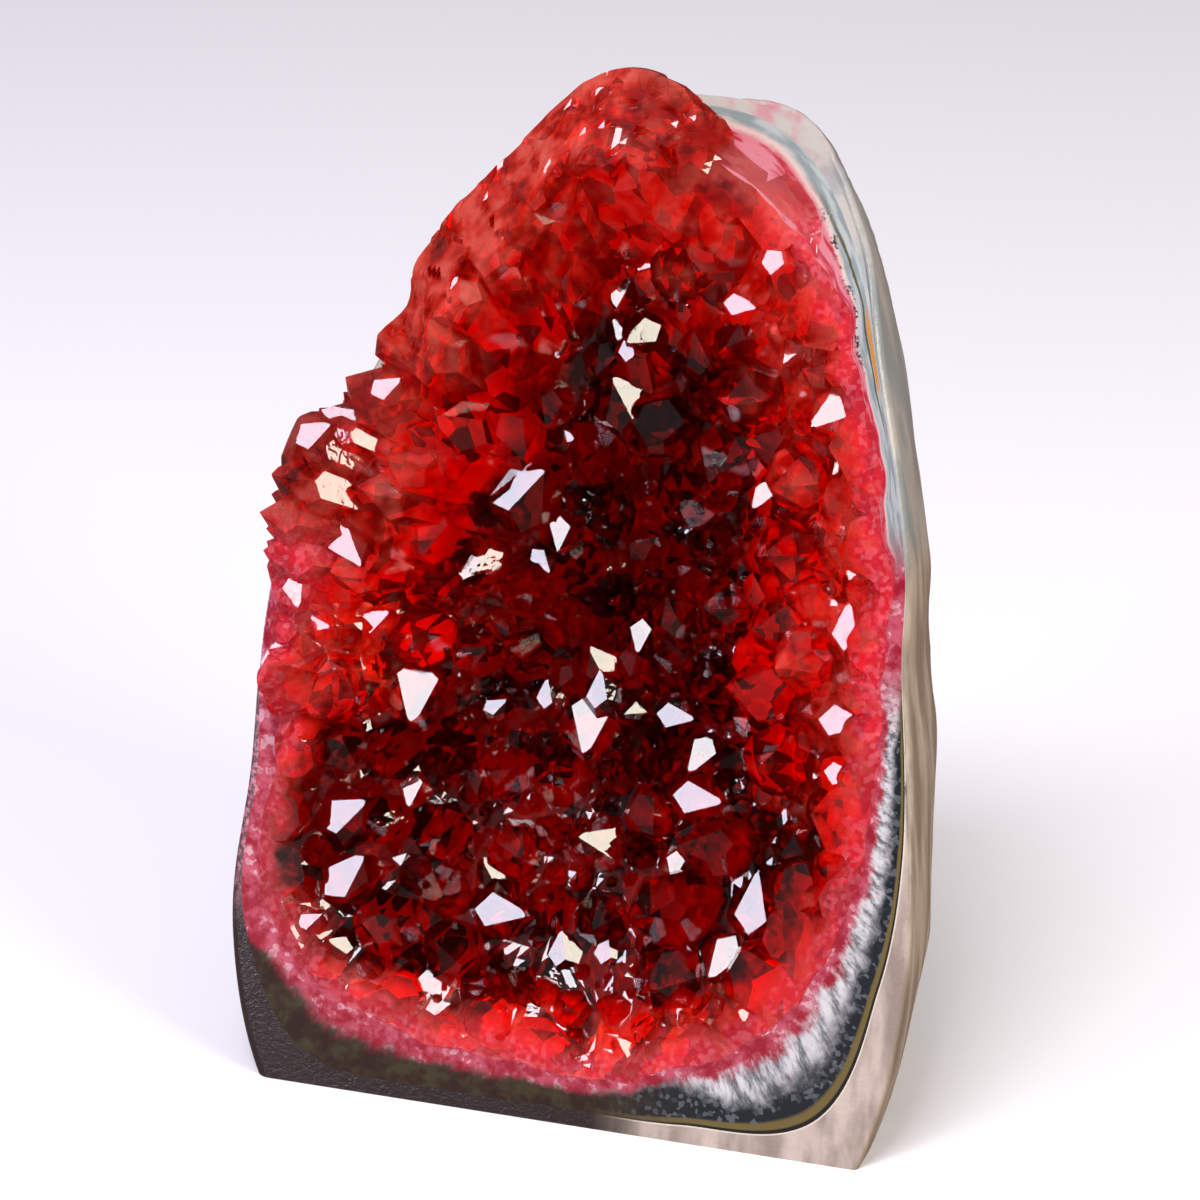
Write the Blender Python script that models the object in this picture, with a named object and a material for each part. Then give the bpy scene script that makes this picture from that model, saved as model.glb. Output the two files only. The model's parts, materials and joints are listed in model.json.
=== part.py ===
"""Red quartz geode, sawn across its hollow and sawn flat underneath, in metres, +Z up.

The nodule is made the way it grew, from the outside in: a rind of basalt, a wall of
banded agate, and a crust of clear quartz points that lines the hollow. The sawn face
leans back a little, so that the stone stands by itself and shows its crystals.
"""

import math
import random

import bmesh
import bpy
from mathutils import Matrix, Vector, noise

MM = 0.001

# The sawn face: its lean, and where its centre line meets the ground.
FACE_LEAN = math.radians(12)
FACE_FOOT = Vector((0.54 * MM, -27.18 * MM, 0.0))

# The centre of the hollow, up the face. All the layers are measured from it.
HOLLOW_HEIGHT = 50 * MM

# Each layer's edge on the sawn face, in millimetres from the centre of the hollow,
# every 15 degrees from the right, anticlockwise. The rock's lowest values lie under
# the ground, where the saw has cut the foot off.
EDGE_STEP = 15
ROCK_EDGE = (33.0, 34.0, 36.2, 40.6, 48.0, 52.4, 54.8, 42.0, 35.6, 32.6, 31.9, 33.0,
             33.8, 35.0, 39.4, 49.8, 57.0, 68.0, 76.0, 72.0, 58.0, 48.0, 40.0, 35.0)
AGATE_EDGE = (31.6, 32.6, 34.8, 39.0, 46.4, 50.8, 53.2, 40.4, 34.0, 31.0, 30.3, 31.4,
              32.2, 33.4, 37.8, 47.2, 53.2, 50.0, 48.3, 49.9, 52.8, 44.9, 38.2, 33.6)
BED_EDGE = (30.0, 30.8, 33.0, 36.8, 41.8, 47.2, 50.6, 38.4, 32.0, 29.2, 28.5, 29.6,
            30.4, 31.6, 35.6, 44.0, 46.6, 45.2, 45.0, 45.0, 43.0, 38.5, 34.0, 31.2)

# How far each layer reaches behind the face, and how full its back is: at 2 it is an
# ellipsoid, above that squarer, and below it more like a cone.
ROCK_DEPTH = 43 * MM
AGATE_DEPTH = 35 * MM
BED_DEPTH = 19 * MM
ROCK_FULLNESS = 2.2
AGATE_FULLNESS = 2.2
BED_FULLNESS = 1.3

# The natural outside of the nodule: broad swells and small lumps, none at the saw cut.
SWELL_HEIGHT = 1.6 * MM
SWELL_SIZE = 17 * MM
LUMP_HEIGHT = 0.6 * MM
LUMP_SIZE = 6 * MM
CALM_DEPTH = 9 * MM

# The polished bevel on the upper right shoulder of the face.
SHOULDER_ANGLE = math.radians(58)
SHOULDER_RADIUS = 43.4 * MM
SHOULDER_TILT = math.radians(52)

# The rim is sawn flush with its crystals below a line across the face (mm). Above it,
# at the upper left, the rim is broken and the crystals stand over it.
SAWN_FROM = (-30, 36, 0)
SAWN_TO = (14, 104, 0)

# A saw block is this large, so that it clears the stone on every side.
SAW_SIZE = 200 * MM

# Grown-together layers are kept a hair apart, so that each stays its own solid.
GAP = 0.3 * MM
CRUST_THICKNESS = 1.5 * MM

# The quartz points. Lengths are parts of the radius, which is that of the prism's
# corners: how far each face of the tip is set down from the apex, how much bare prism
# stands above the bed, and how far a tip reaches past its root. A tip's faces slope as
# quartz's do. The small points between have the three large faces only.
RHOMB_SLOPE = math.radians(51.8)
LARGE_FACE_DROP = (0.0, 0.3)
SMALL_FACE_DROP = (-0.45, -0.1)
ROOT_DEPTH = 2.2 * MM
BARE_LARGE = (0.6, 1.0)
BARE_SMALL = (0.3, 0.8)
TIP_REACH = 1.8
SMALL_SIZES = (3.9 * MM, 3.2 * MM, 2.7 * MM)
SMALL_TRIES = (900, 1500, 2000)
SPACING = 0.76
WOBBLE = 0.38
FORWARD = 0.8
SEED = 21

# The large points that stand out: where each tip lies on the face, across from its
# centre line and up from the ground, and the radius, in millimetres.
LARGE_POINTS = (
    (-10, 61, 6.0), (-27, 54, 5.2), (-20, 38, 5.4), (21, 72, 4.8), (26, 59, 4.2), (-24, 20, 4.6),
    (-31, 25, 4.2), (13, 10, 4.4), (-3, 37, 4.2), (20, 84, 4.2), (-6, 95, 4.0), (-1, 82, 3.8),
    (6, 80, 3.6), (14, 88, 3.6), (11, 43, 3.8), (11, 32, 3.6), (18, 24, 3.8), (14, 18, 3.6),
    (-1, 26, 3.8), (-9, 19, 3.8), (-26, 29, 3.6), (6, 51, 3.6), (0, 72, 4.0), (-19, 63, 3.6),
    (27, 50, 3.6), (27, 42, 3.8), (27, 31, 4.2), (20, 16, 3.8), (6, 95, 3.8), (-15, 12, 3.8),
)

# Rows of points that grew over the thin broken edge, from the apex down the upper left.
# Each row gives how far inside the bed's edge its roots lie, how far past the edge its
# tips reach and how high they stand off the face, the step along the edge and the radius.
EDGE_FROM = math.radians(80)
EDGE_TO = math.radians(190)
EDGE_ROWS = (
    (5.5 * MM, 3.2 * MM, 2.6 * MM, 4.6 * MM, 4.0 * MM),
    (10.5 * MM, -4.0 * MM, 0.4 * MM, 5.8 * MM, 4.0 * MM),
)
EDGE_JITTER = 1.0 * MM

# Facets of the round layers, around and from front to back. The even count puts a ring
# of corners at the widest place, and it stands a hair in front of the sawn face, so
# that no corner lies in the cut.
ROCK_FACETS = (56, 22)
AGATE_FACETS = (32, 12)
BED_FACETS = (36, 12)
HAIR = 0.1 * MM

FACE = Matrix((
    (1, 0, 0, FACE_FOOT.x),
    (0, math.sin(FACE_LEAN), -math.cos(FACE_LEAN), FACE_FOOT.y),
    (0, math.cos(FACE_LEAN), math.sin(FACE_LEAN), 0),
    (0, 0, 0, 1),
))
HOLLOW = Vector((0, HOLLOW_HEIGHT, 0))


def clear_scene():
    for thing in list(bpy.data.objects):
        bpy.data.objects.remove(thing)


def new_collection(name):
    collection = bpy.data.collections.new(name)
    bpy.context.scene.collection.children.link(collection)
    return collection


def make_object(name, bm, collection):
    mesh = bpy.data.meshes.new(name)
    bm.to_mesh(mesh)
    bm.free()
    obj = bpy.data.objects.new(name, mesh)
    collection.objects.link(obj)
    return obj


def make_material(name, colour, roughness, transmission=0.0):
    material = bpy.data.materials.new(name)
    material.use_nodes = True
    shader = material.node_tree.nodes["Principled BSDF"]
    shader.inputs["Base Color"].default_value = (*colour, 1)
    shader.inputs["Roughness"].default_value = roughness
    shader.inputs["Metallic"].default_value = 0.0
    shader.inputs["Transmission Weight"].default_value = transmission
    return material


def edge_at(edges, angle):
    """A layer's radius on the face at an angle, on a smooth closed curve (metres)."""
    place = (math.degrees(angle) % 360) / EDGE_STEP
    first = int(place)
    t = place - first
    a, b, c, d = (edges[(first + k) % len(edges)] for k in (-1, 0, 1, 2))
    bend = (2 * a - 5 * b + 4 * c - d) * t * t + (3 * b - a - 3 * c + d) * t * t * t
    return 0.5 * (2 * b + (c - a) * t + bend) * MM


class Layer:
    """One closed form around the hollow, in face coordinates (across, up, outward)."""

    def __init__(self, edges, depth, fullness, inset=0.0):
        self.edges = edges
        self.depth = depth - inset
        self.fullness = fullness
        self.inset = inset

    def fraction(self, ray):
        """How far a point, given from the hollow's centre, has gone towards the layer."""
        across = math.hypot(ray.x, ray.y)
        radius = edge_at(self.edges, math.atan2(ray.y, ray.x)) - self.inset
        power = self.fullness
        return ((across / radius) ** power + (abs(ray.z) / self.depth) ** power) ** (1 / power)

    def point(self, direction):
        """Where a ray from the hollow's centre meets the layer."""
        return HOLLOW + direction / self.fraction(direction)

    def normal(self, point):
        """The direction out of the layer at a point on it."""
        ray = point - HOLLOW
        step = 0.1 * MM
        slope = []
        for axis in range(3):
            shift = Vector((0, 0, 0))
            shift[axis] = step
            slope.append(self.fraction(ray + shift) - self.fraction(ray - shift))
        return Vector(slope).normalized()

    def solid(self, name, facets, collection, rough=False):
        bm = bmesh.new()
        bmesh.ops.create_uvsphere(bm, u_segments=facets[0], v_segments=facets[1], radius=1)
        for vertex in bm.verts:
            vertex.co = self.point(vertex.co.normalized())
            if rough:
                vertex.co += weathering(vertex.co)
        bmesh.ops.triangulate(bm, faces=bm.faces, quad_method="FIXED")
        bm.transform(FACE @ Matrix.Translation((0, 0, HAIR)))
        return make_object(name, bm, collection)


def weathering(point):
    """The swells and lumps of the natural outside, fading out towards the sawn face."""
    calm = min(1.0, abs(point.z) / CALM_DEPTH)
    swell = noise.noise(point / SWELL_SIZE) * SWELL_HEIGHT
    lump = noise.noise(point / LUMP_SIZE) * LUMP_HEIGHT
    return (point - HOLLOW).normalized() * (swell + lump) * calm


def block(name, place, cutters):
    """A saw block: a cube that takes away all that it covers."""
    bm = bmesh.new()
    bmesh.ops.create_cube(bm, size=SAW_SIZE)
    bm.transform(place)
    return make_object(name, bm, cutters)


def combine(target, cutter, operation):
    modifier = target.modifiers.new(cutter.name, "BOOLEAN")
    modifier.operation = operation
    modifier.solver = "EXACT"
    if isinstance(cutter, bpy.types.Collection):
        modifier.operand_type = "COLLECTION"
        modifier.collection = cutter
    else:
        modifier.object = cutter


def settle(obj):
    """Turn an object's modifiers into plain mesh."""
    graph = bpy.context.evaluated_depsgraph_get()
    mesh = bpy.data.meshes.new_from_object(obj.evaluated_get(graph))
    obj.modifiers.clear()
    obj.data = mesh


def saws(cutters):
    """The cuts that the stone was given: the face, the foot and the shoulder bevel."""
    half = SAW_SIZE / 2
    lift = Matrix.Translation((0, 0, half))
    face = block("face_saw", FACE @ Matrix.Translation(HOLLOW) @ lift, cutters)
    foot = block("foot_saw", Matrix.Translation((0, 0, -half)), cutters)
    across = Vector((math.cos(SHOULDER_ANGLE), math.sin(SHOULDER_ANGLE), 0))
    start = Matrix.Translation(HOLLOW + across * SHOULDER_RADIUS)
    turn = Matrix.Rotation(SHOULDER_ANGLE, 4, "Z") @ Matrix.Rotation(SHOULDER_TILT, 4, "Y")
    shoulder = block("shoulder_saw", FACE @ start @ turn @ lift, cutters)
    return face, foot, shoulder


def rim_saw(cutters):
    """The face saw again, kept off the thin broken edge at the upper left."""
    low_end = Vector(SAWN_FROM) * MM
    high_end = Vector(SAWN_TO) * MM
    along = high_end - low_end
    middle = Matrix.Translation((low_end + high_end) / 2)
    turn = Matrix.Rotation(math.atan2(along.y, along.x), 4, "Z")
    shift = Matrix.Translation((0, -SAW_SIZE / 2, SAW_SIZE / 2))
    return block("rim_saw", FACE @ middle @ turn @ shift, cutters)


def cut_flat(bm, point, normal):
    """Cut a closed convex form with a plane, and close it again."""
    geometry = bm.verts[:] + bm.edges[:] + bm.faces[:]
    bmesh.ops.bisect_plane(bm, geom=geometry, plane_co=point, plane_no=normal, clear_outer=True)
    rim = [e for e in bm.edges if e.is_boundary]
    if rim:
        bmesh.ops.contextual_create(bm, geom=rim)


def quartz_point(name, point, rng, collection):
    """A six-sided prism whose tip has three large faces, and three small ones if it is large."""
    apothem = point.radius * math.cos(math.radians(30))
    tip = point.shaft + apothem * math.tan(RHOMB_SLOPE)
    bm = bmesh.new()
    bmesh.ops.create_cone(bm, cap_ends=True, segments=6, depth=2 * tip,
                          radius1=point.radius, radius2=point.radius)
    bmesh.ops.translate(bm, verts=bm.verts, vec=(0, 0, tip))
    for side in range(6):
        small_face = side % 2 == 1
        if small_face and not point.six_faced:
            continue
        drop = point.radius * rng.uniform(*(SMALL_FACE_DROP if small_face else LARGE_FACE_DROP))
        turn = math.radians(30 + 60 * side)
        outward = Vector((math.cos(turn), math.sin(turn), 0))
        facing = outward * math.sin(RHOMB_SLOPE) + Vector((0, 0, math.cos(RHOMB_SLOPE)))
        cut_flat(bm, Vector((0, 0, tip - drop)), facing)
    spin = Matrix.Rotation(rng.uniform(0, math.radians(120)), 4, "Z")
    upright = point.axis.to_track_quat("Z", "Y").to_matrix().to_4x4()
    bm.transform(FACE @ Matrix.Translation(point.root) @ upright @ spin)
    bmesh.ops.recalc_face_normals(bm, faces=bm.faces)
    return make_object(name, bm, collection)


def bed_below(bed, across, up):
    """The point of the bed behind a place on the face."""
    ray = Vector((across, up, 0)) - HOLLOW
    filled = min(0.999, bed.fraction(ray))
    depth = bed.depth * (1 - filled ** bed.fullness) ** (1 / bed.fullness)
    return Vector((across, up, -depth))


class QuartzPoint:
    """Where one crystal stands on the bed, which way it points, and its size."""

    def __init__(self, spot, axis, radius, bare, six_faced=True):
        self.spot = spot
        self.axis = axis.normalized()
        self.radius = radius
        self.root = spot - self.axis * ROOT_DEPTH
        self.shaft = ROOT_DEPTH + bare * radius
        self.six_faced = six_faced


def random_vector(rng):
    return Vector((rng.gauss(0, 1), rng.gauss(0, 1), rng.gauss(0, 1)))


def free_axis(bed, spot, rng):
    """Crystals grow off the bed, and the open side lets them turn towards the light."""
    return (Vector((0, 0, FORWARD)) - bed.normal(spot) + random_vector(rng) * WOBBLE).normalized()


def large_points(bed, rng):
    points = []
    for across, up, radius in LARGE_POINTS:
        size = radius * MM
        tip = Vector((across, up, 0)) * MM
        axis = free_axis(bed, bed_below(bed, tip.x, tip.y), rng)
        foot = tip - axis * size * TIP_REACH
        spot = bed_below(bed, foot.x, foot.y)
        points.append(QuartzPoint(spot, axis, size, rng.uniform(*BARE_LARGE)))
    return points


def edge_points(bed, rng):
    points = []
    for inside, past, height, step, radius in EDGE_ROWS:
        angle = EDGE_FROM
        while angle < EDGE_TO:
            edge = edge_at(BED_EDGE, angle)
            outward = Vector((math.cos(angle), math.sin(angle), 0))
            place = HOLLOW + outward * (edge - inside)
            spot = bed_below(bed, place.x, place.y)
            size = radius * rng.uniform(0.85, 1.15)
            tip = HOLLOW + outward * (edge + past) + Vector((0, 0, height))
            tip += random_vector(rng) * EDGE_JITTER
            pyramid = size * math.cos(math.radians(30)) * math.tan(RHOMB_SLOPE)
            bare = ((tip - spot).length - pyramid) / size
            points.append(QuartzPoint(spot, tip - spot, size, bare))
            angle += step * rng.uniform(0.9, 1.1) / edge
    return points


def small_points(bed, taken, rng):
    """Fill what is left of the bed with thrown points, the larger sizes first."""
    points = list(taken)
    for radius, tries in zip(SMALL_SIZES, SMALL_TRIES):
        for _ in range(tries):
            direction = random_vector(rng)
            direction.z = -abs(direction.z)
            spot = bed.point(direction.normalized())
            size = radius * rng.uniform(0.9, 1.1)
            if all((spot - p.spot).length > SPACING * (size + p.radius) for p in points):
                axis = free_axis(bed, spot, rng)
                bare = rng.uniform(*BARE_SMALL)
                points.append(QuartzPoint(spot, axis, size, bare, six_faced=False))
    return points[len(taken):]


def largest_body(obj):
    """Keep the biggest connected surface: the rest are sealed pockets and crumbs."""
    bm = bmesh.new()
    bm.from_mesh(obj.data)
    bodies = []
    unseen = set(bm.verts)
    while unseen:
        queue = [unseen.pop()]
        body = set(queue)
        while queue:
            for link in queue.pop().link_edges:
                for vertex in link.verts:
                    if vertex in unseen:
                        unseen.remove(vertex)
                        body.add(vertex)
                        queue.append(vertex)
        bodies.append(body)
    bodies.sort(key=len)
    for body in bodies[:-1]:
        bmesh.ops.delete(bm, geom=list(body), context="VERTS")
    bm.to_mesh(obj.data)
    bm.free()


def build_rind(parts, cutters, cuts):
    outside = Layer(ROCK_EDGE, ROCK_DEPTH, ROCK_FULLNESS)
    rind = outside.solid("basalt_rind", ROCK_FACETS, parts, rough=True)
    inside = Layer(AGATE_EDGE, AGATE_DEPTH, AGATE_FULLNESS)
    combine(rind, inside.solid("agate_form", AGATE_FACETS, cutters), "DIFFERENCE")
    for cut in cuts:
        combine(rind, cut, "DIFFERENCE")
    settle(rind)
    rind.data.materials.append(make_material("basalt", (0.26, 0.22, 0.18), 0.85))


def build_wall(parts, cutters, cuts):
    outside = Layer(AGATE_EDGE, AGATE_DEPTH, AGATE_FULLNESS, inset=GAP)
    wall = outside.solid("agate_wall", AGATE_FACETS, parts)
    inside = Layer(BED_EDGE, BED_DEPTH, BED_FULLNESS, inset=-GAP)
    combine(wall, inside.solid("bowl_form", BED_FACETS, cutters), "DIFFERENCE")
    for cut in cuts:
        combine(wall, cut, "DIFFERENCE")
    settle(wall)
    wall.data.materials.append(make_material("agate", (0.16, 0.15, 0.15), 0.25))


def build_mould(cutters):
    """All the space behind the face except the bed. It trims the crystals' roots."""
    behind = Matrix.Translation(HOLLOW + Vector((0, 0, GAP - SAW_SIZE / 2)))
    mould = block("mould", FACE @ behind, cutters)
    bed = Layer(BED_EDGE, BED_DEPTH, BED_FULLNESS)
    combine(mould, bed.solid("bed_form", BED_FACETS, cutters), "DIFFERENCE")
    settle(mould)
    return mould


def build_crust(parts, cutters, cuts):
    face_saw, *other_saws = cuts
    bed = Layer(BED_EDGE, BED_DEPTH, BED_FULLNESS)
    outside = Layer(BED_EDGE, BED_DEPTH, BED_FULLNESS, inset=-CRUST_THICKNESS)
    inside = Layer(BED_EDGE, BED_DEPTH, BED_FULLNESS, inset=CRUST_THICKNESS)
    crust = outside.solid("crystal_crust", BED_FACETS, parts)
    combine(crust, inside.solid("open_form", BED_FACETS, cutters), "DIFFERENCE")
    combine(crust, face_saw, "DIFFERENCE")
    settle(crust)
    rng = random.Random(SEED)
    standing = large_points(bed, rng) + edge_points(bed, rng)
    crystals = new_collection("quartz_points")
    for count, point in enumerate(standing + small_points(bed, standing, rng)):
        quartz_point(f"point_{count}", point, rng, crystals)
    combine(crust, crystals, "UNION")
    for cut in (build_mould(cutters), rim_saw(cutters), *other_saws):
        combine(crust, cut, "DIFFERENCE")
    settle(crust)
    largest_body(crust)
    for crystal in list(crystals.objects):
        bpy.data.objects.remove(crystal)
    bpy.data.collections.remove(crystals)
    crust.data.materials.append(make_material("red_quartz", (0.55, 0.02, 0.02), 0.05, 0.9))


def main():
    clear_scene()
    parts = new_collection("quartz_geode")
    cutters = new_collection("cutters")
    cuts = saws(cutters)
    build_rind(parts, cutters, cuts)
    build_wall(parts, cutters, cuts)
    build_crust(parts, cutters, cuts)
    for cutter in cutters.objects:
        cutter.hide_render = True
        cutter.display_type = "WIRE"


main()
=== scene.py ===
# %% [markdown]
# # A red quartz geode on its sawn foot
# A geode is a hollow stone. This one grew from the outside in: a rind of basalt, a wall
# of banded agate, and quartz points that line what stayed empty, dyed a deep red. It was
# sawn open in front, sawn flat underneath and polished. The cells below make each layer
# as its own piece and then paint and light it. First come the plain solids that the
# pieces stand for.
# %% Load the plain solids
import json
import math
import random
from contextlib import contextmanager

import bmesh
import bpy
import numpy as np
from mathutils import Matrix, Vector, noise

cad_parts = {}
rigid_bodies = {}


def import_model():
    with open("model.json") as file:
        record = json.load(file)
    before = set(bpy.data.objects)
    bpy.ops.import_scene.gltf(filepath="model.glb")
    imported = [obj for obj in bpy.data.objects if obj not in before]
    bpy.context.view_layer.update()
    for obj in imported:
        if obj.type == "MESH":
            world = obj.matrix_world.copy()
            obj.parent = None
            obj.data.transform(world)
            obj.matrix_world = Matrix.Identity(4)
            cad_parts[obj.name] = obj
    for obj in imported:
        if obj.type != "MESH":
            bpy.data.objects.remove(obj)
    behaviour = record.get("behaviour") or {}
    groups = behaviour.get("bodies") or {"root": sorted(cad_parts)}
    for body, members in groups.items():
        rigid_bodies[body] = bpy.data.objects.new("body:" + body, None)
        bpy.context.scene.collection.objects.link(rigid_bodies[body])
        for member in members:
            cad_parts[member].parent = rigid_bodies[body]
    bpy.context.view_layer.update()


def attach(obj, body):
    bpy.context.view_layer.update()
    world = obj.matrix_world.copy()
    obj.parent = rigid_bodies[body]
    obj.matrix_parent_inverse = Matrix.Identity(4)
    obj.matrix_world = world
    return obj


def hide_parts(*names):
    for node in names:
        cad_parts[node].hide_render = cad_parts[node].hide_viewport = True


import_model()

MM = 0.001

# %% [markdown]
# ## Face places
# The sawn face leans back by 12 degrees, and nearly all that shows lies on it or behind
# it. So every place is worked out as on a desk: across the face, up the face, and out of
# it. One matrix then stands the face up. Colours later use the same places.
# %% The sawn face and its centre
FACE_LEAN = math.radians(12)
FACE_FOOT = Vector((0.54 * MM, -27.18 * MM, 0.0))
HOLLOW_HEIGHT = 50 * MM
FACE = Matrix((
    (1, 0, 0, FACE_FOOT.x),
    (0, math.sin(FACE_LEAN), -math.cos(FACE_LEAN), FACE_FOOT.y),
    (0, math.cos(FACE_LEAN), math.sin(FACE_LEAN), 0),
    (0, 0, 0, 1),
))
HOLLOW = Vector((0, HOLLOW_HEIGHT, 0))

# %% [markdown]
# ## The layers' shape
# Each layer is one round form about the hollow's centre. Its outline on the face is a
# short list of radii, every 15 degrees, with a smooth curve through them, and its back is
# a bowl whose fullness is one power. That is far fewer numbers than a sculpted mesh, and
# neighbours that share the rule can't miss each other.
# %% Outlines on the face, in millimetres from the centre, anticlockwise from the right
EDGE_STEP = 15
ROCK_EDGE = (32.3, 33.1, 35.0, 39.4, 47.2, 53.6, 50.8, 43.8, 37.8, 33.8, 32.1, 33.2,
             34.0, 35.2, 39.8, 50.3, 61.0, 68.0, 76.0, 72.0, 60.5, 48.7, 39.6, 34.6)
AGATE_EDGE = (31.5, 32.3, 34.2, 38.3, 45.7, 51.8, 49.8, 42.4, 36.6, 32.8, 31.4, 32.5,
              33.4, 34.6, 38.4, 47.8, 53.6, 50.0, 48.3, 49.9, 52.8, 44.9, 38.2, 33.6)
BED_EDGE = (30.0, 30.8, 32.8, 36.8, 43.2, 48.4, 48.6, 41.0, 34.6, 30.4, 28.5, 29.6,
            31.0, 32.4, 36.6, 44.6, 46.8, 45.2, 45.0, 45.0, 43.0, 38.5, 34.0, 31.2)
CRYSTAL_EDGE = (0, 0, 0, 0, 40.0, 48.2, 53.9, 45.7, 39.7, 33.4, 34.6, 34.2,
                33.6, 28.0, 0, 0, 0, 0, 0, 0, 0, 0, 0, 0)


def edge_at(edges, angle):
    """A layer's radius on the face at an angle, in metres."""
    place = (math.degrees(angle) % 360) / EDGE_STEP
    first = int(place)
    t = place - first
    a, b, c, d = (edges[(first + k) % len(edges)] for k in (-1, 0, 1, 2))
    bend = (2 * a - 5 * b + 4 * c - d) * t * t + (3 * b - a - 3 * c + d) * t * t * t
    return 0.5 * (2 * b + (c - a) * t + bend) * MM


RAGGED = ((6.0, 1.0 * MM), (15.0, 0.55 * MM))


class Layer:
    """One round form about the hollow."""

    def __init__(self, edges, depth, fullness, ragged=0.0):
        self.edges = edges
        self.depth = depth
        self.fullness = fullness
        self.ragged = ragged

    def radius(self, angle):
        """The outline on the face. The edge of the crystals is ragged."""
        wave = 0.0
        for waves, height in RAGGED:
            wave += noise.noise((waves * math.cos(angle), waves * math.sin(angle), waves)) * height
        return edge_at(self.edges, angle) + wave * self.ragged

    def fraction(self, ray):
        """How far a place, seen from the centre, has gone towards the layer."""
        across = math.hypot(ray.x, ray.y)
        radius = self.radius(math.atan2(ray.y, ray.x))
        power = self.fullness
        return ((across / radius) ** power + (abs(ray.z) / self.depth) ** power) ** (1 / power)

    def toward(self, ray):
        """Where a ray from the centre meets the layer."""
        return HOLLOW + ray / self.fraction(ray)

    def normal(self, point):
        """The way out of the layer at a point on it."""
        ray = point - HOLLOW
        step = 0.1 * MM
        slope = []
        for axis in range(3):
            shift = Vector((0, 0, 0))
            shift[axis] = step
            slope.append(self.fraction(ray + shift) - self.fraction(ray - shift))
        return Vector(slope).normalized()


rock = Layer(ROCK_EDGE, 43 * MM, 2.2)
agate = Layer(AGATE_EDGE, 35 * MM, 2.2)
bed = Layer(BED_EDGE, 19 * MM, 1.3, ragged=1.0)

# %% [markdown]
# ## The rolled shoulder and the broken edge
# At the upper right the face doesn't end in a sharp corner. It was ground and polished
# into a slope that rolls over. A plane would leave a crease, so the height of the face
# follows a curve that is flat on one side, steep on the other and smooth between. At the
# upper left the cut ran out of the stone: there the rim is broken back, and crystals
# hang over it.
# %% The height of the face at any place
SAWN_FROM = Vector((-30, 36, 0)) * MM
SAWN_TO = Vector((14, 104, 0)) * MM
BROKEN_DROP = 2.6 * MM
SHOULDER_ANGLE = math.radians(58)
SHOULDER_RADIUS = 43.4 * MM
SHOULDER_TILT = math.radians(52)
SHOULDER_ROLL = 2.4 * MM


def smooth_step(low, high, value):
    """0 at low, 1 at high, and smooth between. Low may be the larger of the two."""
    t = min(1.0, max(0.0, (value - low) / (high - low)))
    return t * t * (3 - 2 * t)


def left_of_saw(across, up):
    """How far a place lies to the upper left of the line where the flat cut stops."""
    along = (SAWN_TO - SAWN_FROM).normalized()
    away = Vector((across, up, 0)) - SAWN_FROM
    return along.x * away.y - along.y * away.x


def sawn_height(across, up):
    """Nothing on the flat of the face, and less than nothing over the shoulder."""
    sideways = across * math.cos(SHOULDER_ANGLE) + (up - HOLLOW_HEIGHT) * math.sin(SHOULDER_ANGLE)
    beyond = sideways - SHOULDER_RADIUS
    return -0.5 * math.tan(SHOULDER_TILT) * (beyond + math.hypot(beyond, SHOULDER_ROLL))


def face_height(across, up):
    """The saw cut, broken back at the upper left."""
    broken = smooth_step(5 * MM, 13 * MM, left_of_saw(across, up))
    return sawn_height(across, up) - BROKEN_DROP * broken


def face_point(angle, radius):
    across = radius * math.cos(angle)
    up = HOLLOW_HEIGHT + radius * math.sin(angle)
    return Vector((across, up, face_height(across, up)))


def rim_radius(layer, angle):
    """How far from the centre a layer comes out of the face, by halving."""
    low, high = 0.0, layer.radius(angle)
    for _ in range(20):
        middle = (low + high) / 2
        if layer.fraction(face_point(angle, middle) - HOLLOW) < 1:
            low = middle
        else:
            high = middle
    return low


# %% [markdown]
# ## Skins made of rings
# A layer's surface is a stack of rings about the hollow, from one pole over the rim to
# the other pole. Rings give an even net that can be pushed in and out point by point, and
# the skin is closed by itself. A value can ride on each point, such as its distance from
# the edge of the crystals, for the colours to read later.
# %% Small tools for meshes
@contextmanager
def opened(mesh):
    """A mesh opened for editing, and written back at the end."""
    work = bmesh.new()
    work.from_mesh(mesh)
    yield work
    work.to_mesh(mesh)
    work.free()


def new_piece(name, data):
    piece = bpy.data.objects.new(name, data)
    bpy.context.scene.collection.objects.link(piece)
    return piece


def put_values(mesh, label, numbers, kind="FLOAT", field="value"):
    """Let a number, or three, ride on each point of a mesh."""
    mesh.attributes.new(label, kind, "POINT").data.foreach_set(field, numbers)


def cut_flat(work, place, facing):
    """Take away what lies past a plane, and close the cut."""
    geometry = work.verts[:] + work.edges[:] + work.faces[:]
    bmesh.ops.bisect_plane(work, geom=geometry, plane_co=place, plane_no=facing, clear_outer=True)
    rim = [e for e in work.edges if e.is_boundary]
    if rim:
        bmesh.ops.contextual_create(work, geom=rim)


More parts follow.
